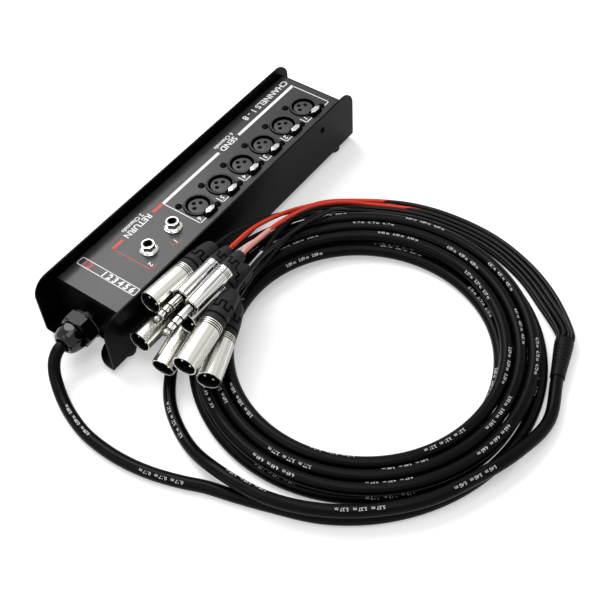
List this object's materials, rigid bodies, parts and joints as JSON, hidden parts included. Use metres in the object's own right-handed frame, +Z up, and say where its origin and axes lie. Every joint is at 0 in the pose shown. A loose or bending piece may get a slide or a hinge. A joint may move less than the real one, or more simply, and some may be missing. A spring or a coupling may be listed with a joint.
{
  "type": "stage box snake",
  "caption": "Low folded steel stage box with latching round sockets and jack sockets on top, its trunk cable wound in a coil that splits into plugged tails.",
  "frame": {"origin": "middle of the box's footprint, on the floor under its feet", "axes": "+X from the gland end to the back end, +Y to the wall away from the coil, +Z up"},
  "size_m": [0.3695, 0.357, 0.0695],
  "materials": {
    "box_steel": "satin black powder coat",
    "panel_steel": "satin dark grey powder coat",
    "foot_rubber": "matt",
    "gland_plastic": "moulded nylon",
    "socket_shell": "black die casting",
    "socket_insert": "moulded",
    "nickel": "polished nickel",
    "plug_shell": "satin nickel",
    "boot_rubber": "moulded rubber",
    "cable_jacket": "matt extruded jacket",
    "tail_jacket_red": "matt extruded jacket"
  },
  "bodies": {
    "stage_box": {"chassis": "box_steel", "top_panel": "panel_steel", "foot_front_near": "foot_rubber", "foot_front_far": "foot_rubber", "foot_back_near": "foot_rubber", "foot_back_far": "foot_rubber", "gland_body": "gland_plastic", "gland_nut": "gland_plastic", "gland_locknut": "gland_plastic", "xlr_socket_1_shell": "socket_shell", "xlr_socket_1_insert": "socket_insert", "xlr_socket_2_shell": "socket_shell", "xlr_socket_2_insert": "socket_insert", "xlr_socket_3_shell": "socket_shell", "xlr_socket_3_insert": "socket_insert", "xlr_socket_4_shell": "socket_shell", "xlr_socket_4_insert": "socket_insert", "xlr_socket_5_shell": "socket_shell", "xlr_socket_5_insert": "socket_insert", "xlr_socket_6_shell": "socket_shell", "xlr_socket_6_insert": "socket_insert", "jack_1": "socket_insert", "jack_1_nut": "nickel", "jack_2": "socket_insert", "jack_2_nut": "nickel", "trunk_coil": "cable_jacket", "trunk_lead": "cable_jacket", "breakout_boot": "boot_rubber", "xlr_plug_1_shell": "plug_shell", "xlr_plug_1_boot": "boot_rubber", "xlr_plug_2_shell": "plug_shell", "xlr_plug_2_boot": "boot_rubber", "xlr_plug_3_shell": "plug_shell", "xlr_plug_3_boot": "boot_rubber", "xlr_plug_4_shell": "plug_shell", "xlr_plug_4_boot": "boot_rubber", "xlr_plug_5_shell": "plug_shell", "xlr_plug_5_boot": "boot_rubber", "xlr_plug_6_shell": "plug_shell", "xlr_plug_6_boot": "boot_rubber", "jack_plug_1_shell": "plug_shell", "jack_plug_1_boot": "boot_rubber", "jack_plug_2_shell": "plug_shell", "jack_plug_2_boot": "boot_rubber", "xlr_tail_1": "cable_jacket", "xlr_tail_2": "cable_jacket", "xlr_tail_3": "cable_jacket", "xlr_tail_4": "cable_jacket", "xlr_tail_5": "cable_jacket", "xlr_tail_6": "cable_jacket", "jack_tail_1": "tail_jacket_red", "jack_tail_2": "tail_jacket_red"},
    "socket_1_latch_body": {"xlr_socket_1_latch": "nickel"},
    "socket_2_latch_body": {"xlr_socket_2_latch": "nickel"},
    "socket_3_latch_body": {"xlr_socket_3_latch": "nickel"},
    "socket_4_latch_body": {"xlr_socket_4_latch": "nickel"},
    "socket_5_latch_body": {"xlr_socket_5_latch": "nickel"},
    "socket_6_latch_body": {"xlr_socket_6_latch": "nickel"}
  },
  "joints": [
    {"name": "socket_1_latch_press", "type": "slide", "parent": "stage_box", "child": "socket_1_latch_body", "axis": [0, 0, -1], "range_m": [0, 0.0018], "stiffness_N_per_m": 500, "springref_m": -0.001},
    {"name": "socket_2_latch_press", "type": "slide", "parent": "stage_box", "child": "socket_2_latch_body", "axis": [0, 0, -1], "range_m": [0, 0.0018], "stiffness_N_per_m": 500, "springref_m": -0.001},
    {"name": "socket_3_latch_press", "type": "slide", "parent": "stage_box", "child": "socket_3_latch_body", "axis": [0, 0, -1], "range_m": [0, 0.0018], "stiffness_N_per_m": 500, "springref_m": -0.001},
    {"name": "socket_4_latch_press", "type": "slide", "parent": "stage_box", "child": "socket_4_latch_body", "axis": [0, 0, -1], "range_m": [0, 0.0018], "stiffness_N_per_m": 500, "springref_m": -0.001},
    {"name": "socket_5_latch_press", "type": "slide", "parent": "stage_box", "child": "socket_5_latch_body", "axis": [0, 0, -1], "range_m": [0, 0.0018], "stiffness_N_per_m": 500, "springref_m": -0.001},
    {"name": "socket_6_latch_press", "type": "slide", "parent": "stage_box", "child": "socket_6_latch_body", "axis": [0, 0, -1], "range_m": [0, 0.0018], "stiffness_N_per_m": 500, "springref_m": -0.001}
  ]
}
